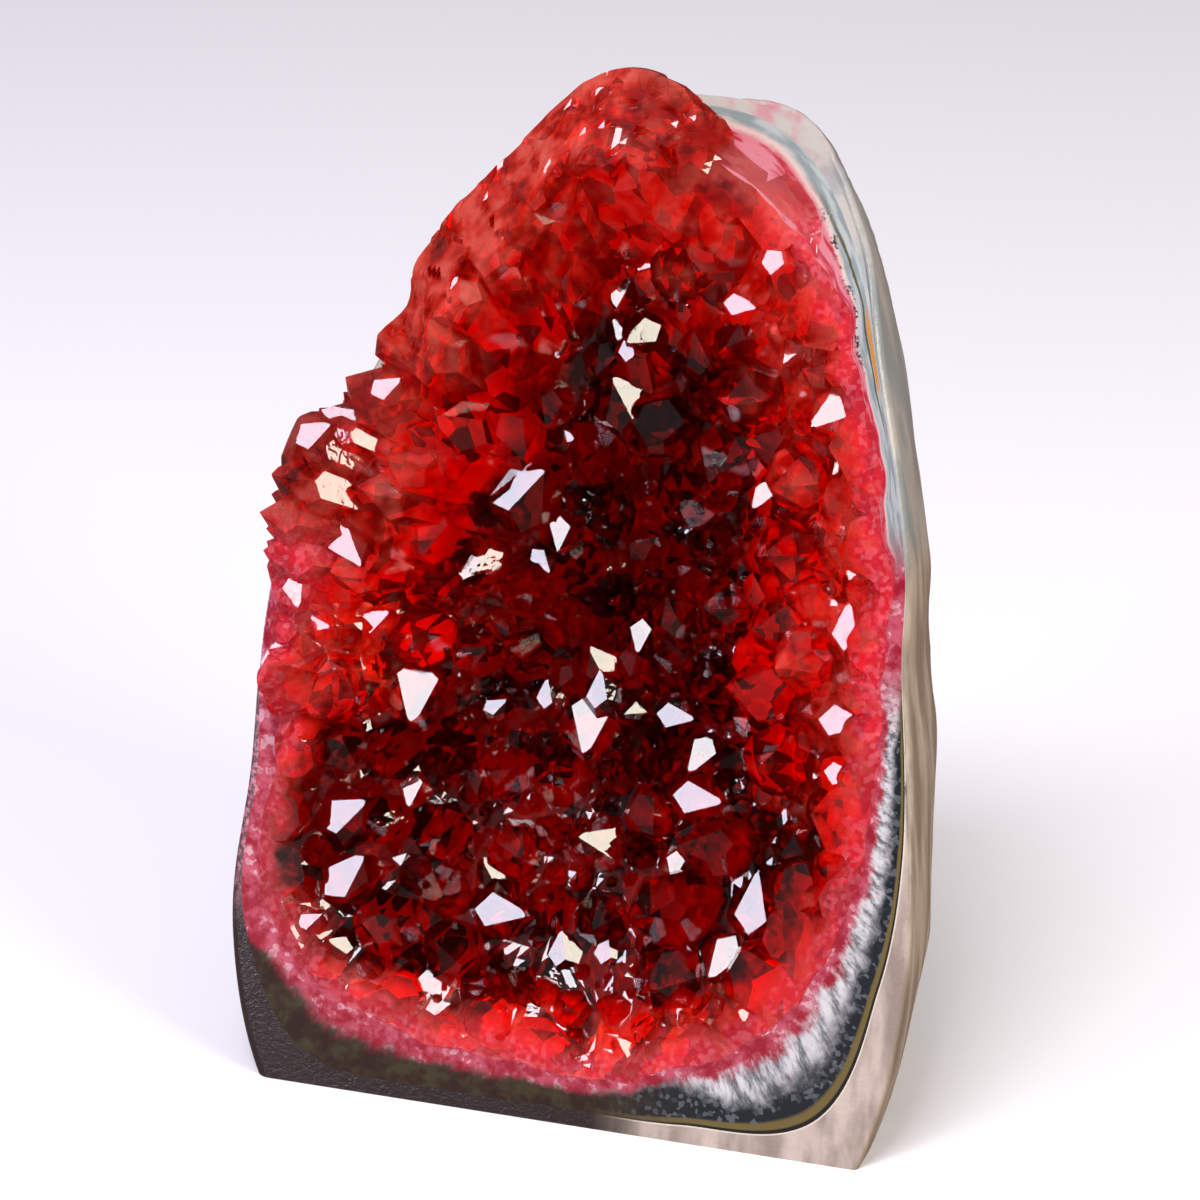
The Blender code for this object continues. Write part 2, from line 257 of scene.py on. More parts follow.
# %% Build a closed skin from rings
def skin(name, columns, values=()):
    """A closed mesh from one column of points for each angle. The columns share their ends."""
    rings = len(columns[0]) - 2
    around = len(columns)
    points = [columns[0][0], columns[0][-1]]
    for ring in range(rings):
        points.extend(column[ring + 1] for column in columns)

    def at(ring, column):
        return 2 + ring * around + column % around

    faces = []
    for column in range(around):
        faces.append((0, at(0, column + 1), at(0, column)))
        faces.append((1, at(rings - 1, column), at(rings - 1, column + 1)))
        for ring in range(rings - 1):
            faces.append((at(ring, column), at(ring, column + 1),
                          at(ring + 1, column + 1), at(ring + 1, column)))
    mesh = bpy.data.meshes.new(name)
    mesh.from_pydata([FACE @ p for p in points], [], faces)
    for label, rows in values:
        numbers = [rows[0][0], rows[0][-1]]
        for ring in range(rings):
            numbers.extend(row[ring + 1] for row in rows)
        put_values(mesh, label, numbers)
    with opened(mesh) as work:
        bmesh.ops.recalc_face_normals(work, faces=work.faces)
    print(name, "has", len(mesh.polygons), "faces")
    return new_piece(name, mesh)


def bowl_column(layer, angle, top, rings):
    """Points down a layer's back, from the pole up to its rim."""
    rim = face_point(angle, top) - HOLLOW
    steepest = math.atan2(math.hypot(rim.x, rim.y), -rim.z)
    column = []
    for ring in range(rings + 1):
        turn = steepest * ring / rings
        side = math.sin(turn)
        ray = Vector((side * math.cos(angle), side * math.sin(angle), -math.cos(turn)))
        column.append(layer.toward(ray))
    return column


def spread(start, end, count):
    """Even steps from start to end, both left out."""
    return [start + (end - start) * (k + 1) / (count + 1) for k in range(count)]


AROUND = 480
ANGLES = [2 * math.pi * k / AROUND for k in range(AROUND)]
bed_rim = [rim_radius(bed, angle) for angle in ANGLES]
agate_rim = [rim_radius(agate, angle) for angle in ANGLES]
rock_rim = [rim_radius(rock, angle) for angle in ANGLES]
print("rim at the right, in mm:", [round(r[0] * 1000, 1) for r in (bed_rim, agate_rim, rock_rim)])

# %% [markdown]
# ## The basalt rind
# The outside is natural rock: broad swells, small lumps, gas pits and a fine grain. Right
# beside the face it was ground smooth, and at the lower left its edge is rounded over and
# polished. Sculpting would do it, but noise by place gives the same stone each time. The
# broad swells are the solid's own, and what is finer only goes inwards.
# %% Rock surface
SWELL_HEIGHT = 1.6 * MM
SWELL_SIZE = 17 * MM
LUMP_HEIGHT = 0.6 * MM
LUMP_SIZE = 6 * MM
CALM_DEPTH = 9 * MM
GRAIN_HEIGHT = 0.22 * MM
GRAIN_SIZE = 1.5 * MM
PIT_DEPTH = 0.9 * MM
PIT_SIZE = 3.6 * MM
SKIN_ALLOWANCE = 0.25 * MM


def nearness(angle, centre, width):
    """1 at an angle on the face, and 0 beyond the width, in degrees."""
    away = abs((math.degrees(angle) - centre + 180) % 360 - 180)
    return 1 - smooth_step(0.35 * width, width, away)


def ground_smooth(angle, depth):
    """Where the side was ground: a band beside the face, wider at the right and lower left."""
    reach = 5 * MM + 15 * MM * nearness(angle, 0, 75) + 12 * MM * nearness(angle, 215, 60)
    return 1 - smooth_step(0.7 * reach, 1.5 * reach, depth)


def rock_relief(point, angle):
    """How far a point of the natural outside stands out, along the ray from the centre."""
    calm = min(1.0, abs(point.z) / CALM_DEPTH)
    swell = noise.noise(point / SWELL_SIZE) * SWELL_HEIGHT
    lump = noise.noise(point / LUMP_SIZE) * LUMP_HEIGHT
    rough = 1 - ground_smooth(angle, -point.z)
    calm *= 0.4 + 0.6 * rough
    away, middles = noise.voronoi(point / PIT_SIZE)
    width = 0.42 * smooth_step(0.05, 0.6, noise.noise(middles[0] * 7.7))
    pit = smooth_step(width, 0.4 * width, away[0]) if width > 0.05 else 0.0
    grain = noise.fractal(point / GRAIN_SIZE, 0.8, 2.0, 3)
    worn = PIT_DEPTH * pit + GRAIN_HEIGHT * (0.6 + 0.5 * grain)
    return (swell + lump) * calm - rough * worn - SKIN_ALLOWANCE


def edge_rounding(angle):
    """The radius of the rounded edge between the face and the side."""
    return (0.5 + 1.0 * nearness(angle, 232, 30) + 0.6 * nearness(angle, 20, 60)) * MM


# %% The rind's skin, cut flat at the foot
RIND_INSIDE_RINGS = 8
RIND_FACE_RINGS = 14
RIND_OUTSIDE_RINGS = 112
OUTSIDE_CROWDING = 1.6
SEAM = 0.02 * MM


def rind_column(index):
    angle = ANGLES[index]
    rounding = edge_rounding(angle)
    inner = agate_rim[index] + SEAM
    lip = max(inner + 0.1 * MM, rock_rim[index] - rounding)
    column = bowl_column(agate, angle, inner, RIND_INSIDE_RINGS)
    values = [0.0] * len(column)
    for radius in spread(inner, lip, RIND_FACE_RINGS):
        column.append(face_point(angle, radius))
        values.append((radius - inner) / MM)
    rim = face_point(angle, rock_rim[index]) - HOLLOW
    start = math.atan2(math.hypot(rim.x, rim.y), -rim.z)
    outward = Vector((math.cos(angle), math.sin(angle), 0))
    for ring in range(RIND_OUTSIDE_RINGS + 1):
        turn = start * (1 - (ring / RIND_OUTSIDE_RINGS) ** OUTSIDE_CROWDING)
        ray = outward * math.sin(turn) - Vector((0, 0, math.cos(turn)))
        point = rock.toward(ray)
        point += (point - HOLLOW).normalized() * rock_relief(point, angle)
        below = min(1.0, max(0.0, (rim.z - point.z) / rounding))
        point -= outward * rounding * (1 - math.sqrt(1 - (1 - below) ** 2))
        column.append(point)
        values.append((lip - inner) / MM + (rim.z - point.z) / MM)
    return column, values


made = [rind_column(k) for k in range(AROUND)]
rind = skin("basalt_rind_skin", [m[0] for m in made], [("lip", [m[1] for m in made])])


with opened(rind.data) as work:
    cut_flat(work, (0, 0, 0), (0, 0, -1))
    bmesh.ops.triangulate(work, faces=[f for f in work.faces if len(f.verts) > 4])
    bmesh.ops.recalc_face_normals(work, faces=work.faces)
print("the rind after the cut:", len(rind.data.polygons), "faces")

# %% [markdown]
# ## The agate wall
# Between rind and crystals lies agate, polished on the face. Its inside is the bed that
# the crystals stand on, milky and lumpy, whose colour holds a painted glow at their roots. The wall is
# another skin of rings, closer together on the face, where its bands are read.
# %% The wall's skin
BED_RINGS = 64
WALL_FACE_RINGS = 30
WALL_BACK_RINGS = 8
BED_LUMP = 0.9 * MM
BED_LUMP_SIZE = 3.2 * MM
BED_LIFT = 0.15 * MM


def bed_lumps(point):
    """The milky roots stand up into the clear crystal, less so near the sawn face."""
    free = smooth_step(0.2 * MM, 3.5 * MM, -point.z)
    cell = noise.voronoi(point / BED_LUMP_SIZE)[0]
    hill = smooth_step(0.0, 0.6, cell[1] - cell[0])
    return BED_LIFT + BED_LUMP * hill * free


def wall_column(index):
    angle = ANGLES[index]
    inner, outer = bed_rim[index], agate_rim[index]
    column, values = [], []
    for point in bowl_column(bed, angle, inner, BED_RINGS):
        column.append(point - bed.normal(point) * bed_lumps(point))
        values.append(0.0)
    for radius in spread(inner, outer, WALL_FACE_RINGS):
        column.append(face_point(angle, radius))
        values.append((radius - inner) / (outer - inner))
    for point in reversed(bowl_column(agate, angle, outer, WALL_BACK_RINGS)):
        column.append(point)
        values.append(1.0)
    return column, values


made = [wall_column(k) for k in range(AROUND)]
wall = skin("agate_wall_skin", [m[0] for m in made], [("band", [m[1] for m in made])])
bands = [place.value for place in wall.data.attributes["band"].data]
for face in wall.data.polygons:
    face.material_index = 1 if max(bands[v] for v in face.vertices) == 0 else 0
print("faces of the bed:", sum(face.material_index for face in wall.data.polygons))

# %% [markdown]
# ## Where the light comes from
# A flat crystal face shines only when it mirrors a lamp into the eye. So the camera and
# the lamps are placed before the crystals are: a low window at the left, a warm lamp at
# the right, and a high one. Each is a large soft panel, as in a photographer's studio.
# %% The camera's and the lamps' places
TARGET = Vector((0.54, -12.18, 50)) * MM
CAMERA_DISTANCE = 430 * MM


def from_target(azimuth, elevation, distance):
    """A place around the stone: azimuth 0 is straight in front, and 90 is at the right."""
    a, e = math.radians(azimuth), math.radians(elevation)
    return TARGET + Vector((math.sin(a) * math.cos(e), -math.cos(a) * math.cos(e), math.sin(e))) * distance


CAMERA_PLACE = from_target(18, 22, CAMERA_DISTANCE)
LAMP_DISTANCE = 800 * MM
LAMPS = (
    ("window", -38, 14, 0.36, 0.36, (0.86, 0.84, 1.0), 18.0),
    ("lamp", 66, 20, 0.34, 0.34, (1.0, 0.93, 0.78), 18.0),
    ("overhead", -6, 62, 0.30, 0.28, (0.98, 0.95, 1.0), 18.0),
)
lamp_places = [from_target(azimuth, elevation, LAMP_DISTANCE) for _, azimuth, elevation, *_ in LAMPS]

# %% [markdown]
# ## The crystals' plan
# A druse looks random but has rules. Points grow off the bed and lean to the open side,
# crowd out their neighbours, and fill every gap with smaller ones. Some stand out because
# a face catches a lamp, and those are listed one by one: the place of the bright face, how far
# behind the sawn face it lies, its size, and which way the face falls from the tip. The
# script turns such a point until a lamp shines back from it to the camera.
# %% The bright faces: across, up and behind in mm, the radius, and the way it falls
DOWN, UP, LEFT, RIGHT = 270, 90, 180, 0
BRIGHT_FACES = (
    (-10, 62, 9, 5.6, DOWN), (-27, 54, 5, 5.0, LEFT), (-23, 50, 7, 2.8, DOWN), (-24, 47, 7, 3.0, DOWN),
    (-29, 46, 4, 2.8, LEFT), (-31, 49, 2, 2.6, UP), (-16, 49, 10, 2.0, DOWN), (-20, 39, 8, 5.4, UP),
    (-3, 37, 12, 5.2, UP), (-26, 27, 7, 4.6, DOWN), (-20, 29, 9, 2.8, UP), (-29, 31, 3, 2.4, UP),
    (-12, 39, 11, 2.2, DOWN), (-7, 41, 11, 2.4, DOWN), (-2, 45, 12, 3.0, DOWN), (2, 47, 12, 2.8, UP),
    (6, 51, 11, 3.2, DOWN), (14, 63, 9, 2.6, UP), (26, 59, 3, 4.2, UP), (11, 43, 10, 4.8, RIGHT),
    (7, 40, 11, 3.2, LEFT), (9, 36, 11, 3.4, UP), (10, 32, 11, 4.2, LEFT), (23, 38, 5, 2.8, UP),
    (26, 38, 4, 3.0, LEFT), (26, 43, 4, 4.2, LEFT), (18, 31, 7, 3.2, RIGHT), (-1, 26, 12, 4.6, RIGHT),
    (-9, 18, 9, 4.6, LEFT), (17, 24, 7, 4.8, DOWN), (14, 17, 6, 4.0, UP), (8, 25, 9, 2.4, UP),
    (6, 8, 3, 2.6, DOWN), (-3, 16, 8, 2.8, DOWN), (2, 17, 7, 2.6, DOWN), (9, 18, 7, 2.0, LEFT),
    (7, 17, 7, 2.8, UP), (-12, 22, 12, 2.4, DOWN), (-28, 16, 4, 2.2, DOWN), (-25, 14, 4, 2.4, RIGHT),
    (-25, 21, 6, 4.6, DOWN), (-5, 95, 3, 4.0, DOWN), (-3, 91, 5, 3.2, DOWN), (-11, 93, 2, 2.8, UP),
    (-12, 90, 4, 2.6, LEFT), (-17, 77, 5, 3.2, DOWN), (-12, 79, 6, 2.8, UP), (-15, 79, 6, 2.0, LEFT),
    (-7, 76, 8, 3.0, UP), (-23, 71, 4, 2.8, DOWN), (-29, 66, 1, 3.4, DOWN), (-14, 74, 6, 2.6, DOWN),
    (-1, 82, 7, 3.4, UP), (0, 85, 7, 2.4, UP), (2, 85, 7, 2.4, LEFT), (6, 82, 8, 3.0, DOWN),
    (11, 85, 6, 2.6, UP), (12, 82, 6, 2.8, LEFT), (15, 88, 4, 3.2, DOWN), (18, 88, 4, 2.4, UP),
    (-1, 78, 8, 2.2, UP), (0, 77, 8, 2.4, DOWN), (17, 78, 5, 2.6, UP), (8, 78, 8, 3.8, DOWN),
    (0, 72, 9, 4.4, DOWN), (12, 92, 3, 2.4, UP), (22, 73, 3, 4.8, UP), (26, 74, 2, 3.4, LEFT),
    (17, 35, 9, 2.6, DOWN), (-2, 42, 12, 3.0, DOWN), (-6, 67, 8, 2.8, LEFT), (-15, 66, 7, 2.6, DOWN),
    (23, 68, 4, 2.4, UP), (25, 53, 4, 3.6, DOWN), (29, 58, 1, 1.6, DOWN), (15, 55, 9, 2.8, DOWN),
    (1, 101, 0, 4.0, DOWN),
)

# %% How one crystal stands
RHOMB_SLOPE = math.radians(51.8)
APOTHEM = math.cos(math.radians(30))
WOBBLE = 0.38
FORWARD = 0.8
WAY_SEARCH = (0, 20, -20, 40, -40, 60, -60)
LAMP_LUCK = 0.3
WAY_COST = 0.35
FACE_MIDDLE = 0.45
SIZE_OF_BRIGHT = 0.82
LOWEST_STAND = 0.9
HIGHEST_STAND = 1.9
SAWN_CLEARANCE = 0.35
to_face = FACE.inverted()
eye = to_face @ CAMERA_PLACE
lamps_on_face = [to_face @ place for place in lamp_places]


def random_vector(rng):
    return Vector((rng.gauss(0, 1), rng.gauss(0, 1), rng.gauss(0, 1)))


def free_axis(spot, rng):
    """Off the bed, leaning to the open side, and never quite straight."""
    return (Vector((0, 0, FORWARD)) - bed.normal(spot) + random_vector(rng) * WOBBLE).normalized()


def bed_below(across, up):
    """The point of the bed behind a place on the face."""
    filled = min(0.999, bed.fraction(Vector((across, up, 0)) - HOLLOW))
    return Vector((across, up, -bed.depth * (1 - filled ** bed.fullness) ** (1 / bed.fullness)))


class Point:
    """One quartz point: its tip, its axis, the way that its first face looks, and its size."""

    def __init__(self, tip, axis, side, radius, kind):
        self.tip = tip
        self.axis = axis.normalized()
        self.side = (side - self.axis * side.dot(self.axis)).normalized()
        self.radius = radius
        self.kind = kind

    def turn(self):
        """The rotation that stands a crystal of the tray in its place."""
        across = self.axis.cross(self.side)
        local = Matrix((self.side, across, self.axis)).transposed()
        return (FACE.to_3x3() @ local).to_euler()


def settled(middle, size):
    """Slide a bright face along the line of sight to a natural height above the bed."""
    for _ in range(3):
        depth = -bed_below(middle.x, middle.y).z
        stand = depth + middle.z
        wanted = min(max(stand, LOWEST_STAND * size), HIGHEST_STAND * size)
        if left_of_saw(middle.x, middle.y) < 0:
            wanted = min(wanted, depth - SAWN_CLEARANCE * size)
        sight = (eye - middle).normalized()
        middle = middle + sight * ((wanted - stand) / sight.z)
    return middle


def bright_point(row, rng, kinds):
    """Turn a crystal so that one face mirrors a lamp to the camera, the nearest way to how it grew."""
    across, up, behind, radius, way = row
    size = radius * SIZE_OF_BRIGHT * MM
    middle = settled(Vector((across, up, -behind)) * MM, size)
    natural = (Vector((0, 0, FORWARD)) - bed.normal(bed_below(middle.x, middle.y))).normalized()
    to_eye = (eye - middle).normalized()
    best = None
    for lamp in lamps_on_face:
        luck = rng.uniform(0, LAMP_LUCK)
        mirror = (to_eye + (lamp - middle).normalized()).normalized()
        for change in WAY_SEARCH:
            turn = math.radians(way + change)
            fall = Vector((math.cos(turn), math.sin(turn), 0))
            fall = (fall - mirror * fall.dot(mirror)).normalized()
            axis = mirror * math.cos(RHOMB_SLOPE) - fall * math.sin(RHOMB_SLOPE)
            cost = natural.angle(axis) + abs(math.radians(change)) * WAY_COST + luck
            if best is None or cost < best[0]:
                best = (cost, axis, mirror, fall)
    _, axis, mirror, fall = best
    tip = middle - fall * size * APOTHEM / math.cos(RHOMB_SLOPE) * FACE_MIDDLE
    return Point(tip, axis, mirror, size, rng.choice(kinds))


# %% [markdown]
# ## Crowding
# The rest of the bed is filled by throwing points at random and keeping each that has
# room, large ones first, as nature does when the early crystals take the space. The thin
# broken edge at the upper left has rows of its own that lean over it. Beside the apex they
# are made too tall, because there the crystals were ground off in a sloping strip.
# %% Fill the bed
EDGE_FROM = math.radians(76)
EDGE_TO = math.radians(176)
EDGE_ROWS = (  # in mm: inside the bed's edge, past the outline, height, step, radius
    (4.6, -0.2, 2.2, 3.4, 3.3),
    (3.0, -1.4, 0.4, 2.8, 2.4),
    (2.2, -0.2, -1.4, 2.6, 2.3),
    (9.0, -7.5, 1.2, 4.6, 3.6),
)
STRIP_FROM = 84
STRIP_TO = 124
STRIP_FADE = 8
NICK = 1.6 * MM
NICK_ANGLE = 129.5
NICK_WIDTH = 9
OVERFILL = 4.5 * MM
EDGE_JITTER = 0.6 * MM
THROWN = ((3.6, 500), (2.8, 900), (2.1, 1800), (1.5, 2800), (1.05, 3000))  # radius in mm, tries
SPACING = 0.72
SPREAD = (0.85, 1.15)
STANDS = (1.4, 2.4)
ROOT_BELOW_TIP = 1.6
SEED = 21
rng = random.Random(SEED)
KINDS = tuple(range(8))


def in_strip(angle):
    """1 along the ground strip beside the apex, and 0 away from it."""
    degrees = math.degrees(angle)
    begun = smooth_step(STRIP_FROM - STRIP_FADE, STRIP_FROM, degrees)
    return begun * (1 - smooth_step(STRIP_TO, STRIP_TO + STRIP_FADE, degrees))


def crystal_edge(angle):
    """The outline of the crystals that hang over the broken edge, with the nick in it."""
    return edge_at(CRYSTAL_EDGE, angle) - NICK * nearness(angle, NICK_ANGLE, NICK_WIDTH)


def edge_points(rng):
    points = []
    for row in EDGE_ROWS:
        inside, past, height, step, radius = (value * MM for value in row)
        angle = EDGE_FROM
        while angle < EDGE_TO:
            edge = bed.radius(angle)
            outward = Vector((math.cos(angle), math.sin(angle), 0))
            place = HOLLOW + outward * (edge - inside)
            spot = bed_below(place.x, place.y)
            size = radius * rng.uniform(0.8, 1.15)
            tip = HOLLOW + outward * (crystal_edge(angle) + past) + Vector((0, 0, height))
            tip += (tip - spot).normalized() * OVERFILL * in_strip(angle)
            tip += random_vector(rng) * EDGE_JITTER
            points.append(Point(tip, tip - spot, random_vector(rng), size, rng.choice(KINDS)))
            angle += step * rng.uniform(*SPREAD) / edge
    return points


def thrown_points(taken, rng):
    spots = [p.tip - p.axis * p.radius * ROOT_BELOW_TIP for p in taken]
    sizes = [p.radius for p in taken]
    points = []
    for radius, tries in THROWN:
        for _ in range(tries):
            direction = random_vector(rng)
            direction.z = -abs(direction.z)
            spot = bed.toward(direction.normalized())
            size = radius * MM * rng.uniform(*SPREAD)
            gaps = np.linalg.norm(np.array(spots) - np.array(spot), axis=1)
            if (gaps > SPACING * (np.array(sizes) + size)).all():
                axis = free_axis(spot, rng)
                tip = spot + axis * size * rng.uniform(*STANDS)
                points.append(Point(tip, axis, random_vector(rng), size, rng.choice(KINDS)))
                spots.append(spot)
                sizes.append(size)
    return points


bright = [bright_point(row, rng, KINDS) for row in BRIGHT_FACES]
standing = bright + edge_points(rng)
points = standing + thrown_points(standing, rng)
print("quartz points:", len(bright), "bright,", len(standing) - len(bright), "edge,", len(points), "in all")

# %% [markdown]
# ## A tray of crystals
# Quartz ends in six faces, three of them large. Each kind in the tray is a six-sided
# prism cut by six planes at the true slope, set at slightly different heights, so no two
# tips look alike. Cutting planes give exactly flat faces, as growth does.
# %% Cut the kinds
SHAFT = 5.0
ABOVE_TIP = 0.001
LARGE_DROP = (0.0, 0.14)
SMALL_DROP = (-0.16, 0.08)


def crystal_kind(name, rng):
    """A crystal of radius 1 with its tip at the origin and its first large face towards +X."""
    drops = [rng.uniform(*(SMALL_DROP if side % 2 else LARGE_DROP)) for side in range(6)]
    drops[0] = 0.0
    mesh = bpy.data.meshes.new(name)
    with opened(mesh) as work:
        bmesh.ops.create_cone(work, cap_ends=True, segments=6, depth=SHAFT, radius1=1, radius2=1)
        bmesh.ops.rotate(work, verts=work.verts, matrix=Matrix.Rotation(math.radians(30), 3, "Z"))
        bmesh.ops.translate(work, verts=work.verts, vec=(0, 0, ABOVE_TIP - SHAFT / 2))
        for side, drop in enumerate(drops):
            turn = math.radians(60 * side)
            outward = Vector((math.cos(turn), math.sin(turn), 0))
            facing = outward * math.sin(RHOMB_SLOPE) + Vector((0, 0, math.cos(RHOMB_SLOPE)))
            cut_flat(work, Vector((0, 0, -drop)), facing)
        bmesh.ops.recalc_face_normals(work, faces=work.faces)
    tray.objects.link(bpy.data.objects.new(name, mesh))


tray = bpy.data.collections.new("crystal_tray")
bpy.context.scene.collection.children.link(tray)
for number in KINDS:
    crystal_kind(f"kind_{number}", rng)

# %% [markdown]
# ## The room for the crystals
# Crystals start in the bed and end at the saw cut. Instead of shaping each one, they all
# get long shafts, and one closed form keeps what lies inside it: the bed below, the face
# above, and more height at the upper left, where the edge is broken and tips stand free.
# Beside the apex its edge is a slope of small tilted faces, as rough grinding leaves.
# %% The room's skin
HEADROOM = 5.5 * MM
STRIP_LOW = 2.0 * MM
STRIP_SLOPE = 0.75
STRIP_FACE = 2.6 * MM
STRIP_TILT = 0.9
UNDERCUT = 3.5 * MM
ROOM_MARGIN = 0.6 * MM
ROOM_RINGS = 40
CEILING_RINGS = 80
FLUSH = 0.03 * MM
SILL_LIFT = 0.01 * MM


def ceiling(across, up):
    free = smooth_step(-1.0 * MM, 5 * MM, left_of_saw(across, up))
    return sawn_height(across, up) * (1 - 0.5 * free) + FLUSH + HEADROOM * free


def strip_height(place, inward, angle):
    """The ground edge beside the apex: a slope of small tilted faces. Elsewhere it is out of the way."""
    middle = noise.voronoi(place / STRIP_FACE)[1][0]
    tilt = noise.cell_vector(middle * 9.1) - Vector((0.5, 0.5, 0.5))
    face = (place - middle * STRIP_FACE).dot(tilt) * STRIP_TILT
    away = (1 - in_strip(angle)) * 2 * HEADROOM
    return inward * STRIP_SLOPE - STRIP_LOW + face + away


def room_column(index):
    angle = ANGLES[index]
    top = bed_rim[index]
    column = bowl_column(bed, angle, top, ROOM_RINGS)
    outward = Vector((math.cos(angle), math.sin(angle), 0))
    past = max(0.0, crystal_edge(angle) - top)
    past += min(past, ROOM_MARGIN) * (1 - in_strip(angle))
    reach = top + SEAM + past
    sill = face_point(angle, reach)
    column.append(Vector((sill.x, sill.y, sill.z + SILL_LIFT - min(UNDERCUT, past))))
    for ring in range(CEILING_RINGS + 1):
        radius = reach * (1 - ring / CEILING_RINGS)
        across, up = radius * outward.x, HOLLOW_HEIGHT + radius * outward.y
        flat = Vector((across, up, 0))
        height = min(ceiling(across, up), strip_height(flat, reach - radius, angle))
        column.append(Vector((across, up, height)))
    return column


room = skin("room", [room_column(k) for k in range(AROUND)])

# %% [markdown]
# ## Grow the druse with Geometry Nodes
# Over five hundred crystals are too many to place by hand, and they have to end as one
# closed solid, or light would refract at every hidden wall inside. The tree sets a
# crystal of the tray on each point, turned and sized by the point's own values, joins
# them with the crust they grow from, keeps what is in the room, and paints the result.
# %% Helpers for a node tree
def tree_node(tree, kind, settings=None, inputs=None):
    """Add a node, with its settings first, then values or links for its sockets."""
    node = tree.nodes.new(kind)
    for name, value in (settings or {}).items():
        setattr(node, name, value)
    for name, value in (inputs or {}).items():
        if isinstance(value, bpy.types.NodeSocket):
            tree.links.new(value, node.inputs[name])
        else:
            node.inputs[name].default_value = value
    return node


def point_value(tree, name, kind):
    """A value that rides on the points."""
    node = tree_node(tree, "GeometryNodeInputNamedAttribute", {"data_type": kind}, {"Name": name})
    return node.outputs[0]


# %% The druse's tree
def druse_tree():
    tree = bpy.data.node_groups.new("druse", "GeometryNodeTree")
    for name, kind in (("Points", "Geometry"), ("Tray", "Collection"), ("Crust", "Object"),
                       ("Room", "Object"), ("Finish", "Material"), ("Size", "Float")):
        tree.interface.new_socket(name, in_out="INPUT", socket_type="NodeSocket" + kind)
    tree.interface.new_socket("Druse", in_out="OUTPUT", socket_type="NodeSocketGeometry")
    start = tree_node(tree, "NodeGroupInput").outputs
    kinds = tree_node(tree, "GeometryNodeCollectionInfo", {}, {
        "Collection": start["Tray"], "Separate Children": True, "Reset Children": True})
    turn = tree_node(tree, "FunctionNodeEulerToRotation", {}, {
        0: point_value(tree, "turn", "FLOAT_VECTOR")})
    scale = tree_node(tree, "ShaderNodeMath", {"operation": "MULTIPLY"}, {
        0: point_value(tree, "radius", "FLOAT"), 1: start["Size"]})
    crystals = tree_node(tree, "GeometryNodeInstanceOnPoints", {}, {
        "Points": start["Points"], "Instance": kinds.outputs[0], "Pick Instance": True,
        "Instance Index": point_value(tree, "kind", "INT"),
        "Rotation": turn.outputs[0], "Scale": scale.outputs[0]})
    crust = tree_node(tree, "GeometryNodeObjectInfo", {}, {"Object": start["Crust"]})
    walls = tree_node(tree, "GeometryNodeObjectInfo", {}, {"Object": start["Room"]})
    grown = tree_node(tree, "GeometryNodeMeshBoolean", {"operation": "UNION", "solver": "MANIFOLD"})
    tree.links.new(crystals.outputs[0], grown.inputs["Mesh 2"])
    tree.links.new(crust.outputs["Geometry"], grown.inputs["Mesh 2"])
    kept = tree_node(tree, "GeometryNodeMeshBoolean", {"operation": "INTERSECT", "solver": "MANIFOLD"})
    tree.links.new(grown.outputs["Mesh"], kept.inputs["Mesh 2"])
    tree.links.new(walls.outputs["Geometry"], kept.inputs["Mesh 2"])
    real = tree_node(tree, "GeometryNodeRealizeInstances", {}, {"Geometry": kept.outputs["Mesh"]})
    done = tree_node(tree, "GeometryNodeSetMaterial", {}, {
        "Geometry": real.outputs[0], "Material": start["Finish"]})
    tree.links.new(done.outputs[0], tree_node(tree, "NodeGroupOutput").inputs[0])
    return tree


def set_input(modifier, name, value):
    """A modifier's input goes by its socket's identifier."""
    socket = modifier.node_group.interface.items_tree[name]
    modifier[socket.identifier] = value


# %% The crust that the crystals grow from, and their points
CRUST_THICKNESS = 1.15 * MM
CRUST_LUMP = 1.5 * MM
CRUST_LUMP_SIZE = 2.3 * MM
CRUST_RINGS = 64
CRUST_SUNK = 0.3
CRUST_LIFT = 0.5 * MM


def crust_thickness(point):
    """Small heads that never grew out into points."""
    cell = noise.voronoi(point / CRUST_LUMP_SIZE)[0]
    return CRUST_THICKNESS + CRUST_LUMP * max(0.0, 0.5 - cell[0])


def crust_column(index):
    angle = ANGLES[index]
    outer = bowl_column(bed, angle, bed_rim[index], CRUST_RINGS)
    inner = [point - bed.normal(point) * crust_thickness(point) for point in outer]
    sunk = [point + bed.normal(point) * CRUST_SUNK * MM for point in outer]
    lift = Vector((0, 0, CRUST_LIFT))
    return sunk + [outer[-1] + lift, inner[-1] + lift] + inner[::-1]


crust = skin("crust", [crust_column(k) for k in range(0, AROUND, 2)])
cloud = bpy.data.meshes.new("quartz_tips")
cloud.from_pydata([FACE @ p.tip for p in points], [], [])
turns = [value for p in points for value in p.turn()]
put_values(cloud, "turn", turns, "FLOAT_VECTOR", "vector")
put_values(cloud, "radius", [p.radius for p in points])
put_values(cloud, "kind", [p.kind for p in points], "INT")
tips = new_piece("quartz_tips", cloud)
quartz = bpy.data.materials.new("dyed_quartz")

# %% Grow it, keep one body, and clear the bench
def bodies_of(work):
    """The separate closed bodies of a mesh, the largest last."""
    unseen = set(work.verts)
    bodies = []
    while unseen:
        queue = [unseen.pop()]
        body = list(queue)
        while queue:
            for link in queue.pop().link_edges:
                for vertex in link.verts:
                    if vertex in unseen:
                        unseen.remove(vertex)
                        body.append(vertex)
                        queue.append(vertex)
        bodies.append(body)
    return sorted(bodies, key=len)


